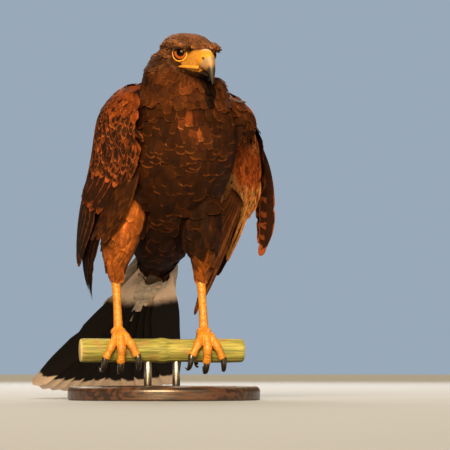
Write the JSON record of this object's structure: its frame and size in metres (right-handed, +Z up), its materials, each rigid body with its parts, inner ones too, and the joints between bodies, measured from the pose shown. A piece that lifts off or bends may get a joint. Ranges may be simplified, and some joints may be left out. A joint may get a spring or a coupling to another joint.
{
  "type": "harris hawk",
  "caption": "Life-size perched hawk with feathered wings, fanned tail, hooked bill and gripping feet, on a cut stem held by a flat display stand.",
  "frame": {"origin": "middle of the underside of the stand's base", "axes": "+Z up; the bird's body faces -Y and its left side is towards +X"},
  "size_m": [0.2423, 0.3657, 0.3815],
  "materials": {
    "plumage_brown": "matte overlapping body feathers, dark chocolate with paler edges",
    "wing_coverts": "rufous shoulder feathers with dark centres",
    "thigh_feathers": "rufous leg feathers",
    "flight_feathers": "blackish flight and tail feathers, the tail tipped white",
    "yellow_skin": "waxy yellow skin of cere, lores and legs",
    "bill_horn": "blue-grey horn darkening to the tip",
    "claw": "polished black horn",
    "eye": "wet dark brown iris round a black pupil",
    "stem": "dry green-brown flower stalk",
    "stained_wood": "dark stained, satin",
    "steel": "fine brushed"
  },
  "bodies": {
    "root": {"torso": "plumage_brown", "neck": "plumage_brown", "head": "plumage_brown", "cere": "yellow_skin", "bill_upper": "bill_horn", "bill_lower": "bill_horn", "eye_left": "eye", "eye_right": "eye", "tail": "flight_feathers", "wing_right_arm": "wing_coverts", "wing_right_hand": "flight_feathers", "wing_left_arm": "wing_coverts", "wing_left_hand": "flight_feathers", "wing_left_outer_primaries": "flight_feathers", "thigh_left": "thigh_feathers", "shank_left": "yellow_skin", "foot_left": "yellow_skin", "claw_left_inner": "claw", "claw_left_middle": "claw", "claw_left_outer": "claw", "claw_left_hind": "claw", "thigh_right": "thigh_feathers", "shank_right": "yellow_skin", "foot_right": "yellow_skin", "claw_right_inner": "claw", "claw_right_middle": "claw", "claw_right_outer": "claw", "claw_right_hind": "claw", "perch": "stem", "stand_base": "stained_wood", "stand_rod_1": "steel", "stand_rod_2": "steel"}
  },
  "joints": []
}
